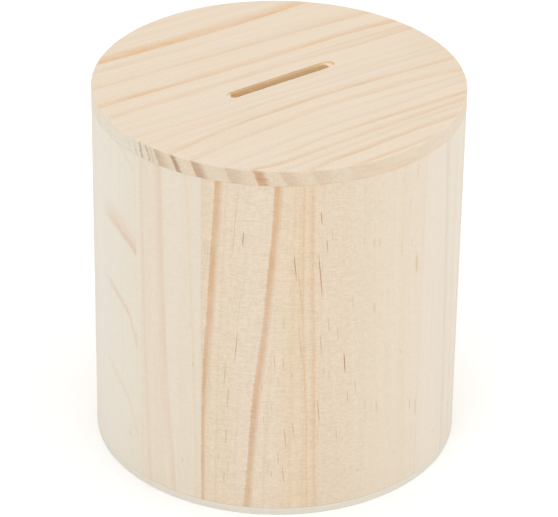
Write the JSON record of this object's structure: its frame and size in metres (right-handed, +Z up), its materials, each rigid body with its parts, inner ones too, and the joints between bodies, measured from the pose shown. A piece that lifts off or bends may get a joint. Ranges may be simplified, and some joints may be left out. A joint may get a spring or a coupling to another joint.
{
  "type": "wooden money box",
  "caption": "Round upright money box in pale softwood: a glued stave drum with a flush lid, a coin slot through the lid and a push-in stopper under the base.",
  "frame": {"origin": "middle of the underside, on the surface the box stands on", "axes": "+Z up, +X along the coin slot, -Y the front"},
  "size_m": [0.1, 0.1, 0.105],
  "materials": {
    "lid_wood": "bare, fine sanded, no varnish",
    "stave_wood_01": "bare, turned and sanded, no varnish",
    "stave_wood_02": "bare, turned and sanded, no varnish",
    "stave_wood_03": "bare, turned and sanded, no varnish",
    "stave_wood_04": "bare, turned and sanded, no varnish",
    "stave_wood_05": "bare, turned and sanded, no varnish",
    "stave_wood_06": "bare, turned and sanded, no varnish",
    "stave_wood_07": "bare, turned and sanded, no varnish",
    "stave_wood_08": "bare, turned and sanded, no varnish",
    "stave_wood_09": "bare, turned and sanded, no varnish",
    "stave_wood_10": "bare, turned and sanded, no varnish",
    "stave_wood_11": "bare, turned and sanded, no varnish",
    "base_wood": "bare, fine sanded, no varnish",
    "stopper_rubber": "moulded, matt"
  },
  "bodies": {
    "box": {"lid_disc": "lid_wood", "stave_01": "stave_wood_01", "stave_02": "stave_wood_02", "stave_03": "stave_wood_03", "stave_04": "stave_wood_04", "stave_05": "stave_wood_05", "stave_06": "stave_wood_06", "stave_07": "stave_wood_07", "stave_08": "stave_wood_08", "stave_09": "stave_wood_09", "stave_10": "stave_wood_10", "stave_11": "stave_wood_11", "base_disc": "base_wood"},
    "stopper": {"stopper": "stopper_rubber"}
  },
  "joints": [
    {"name": "stopper_pull", "type": "slide", "parent": "box", "child": "stopper", "axis": [0, 0, -1], "range_m": [0, 0.025]}
  ]
}
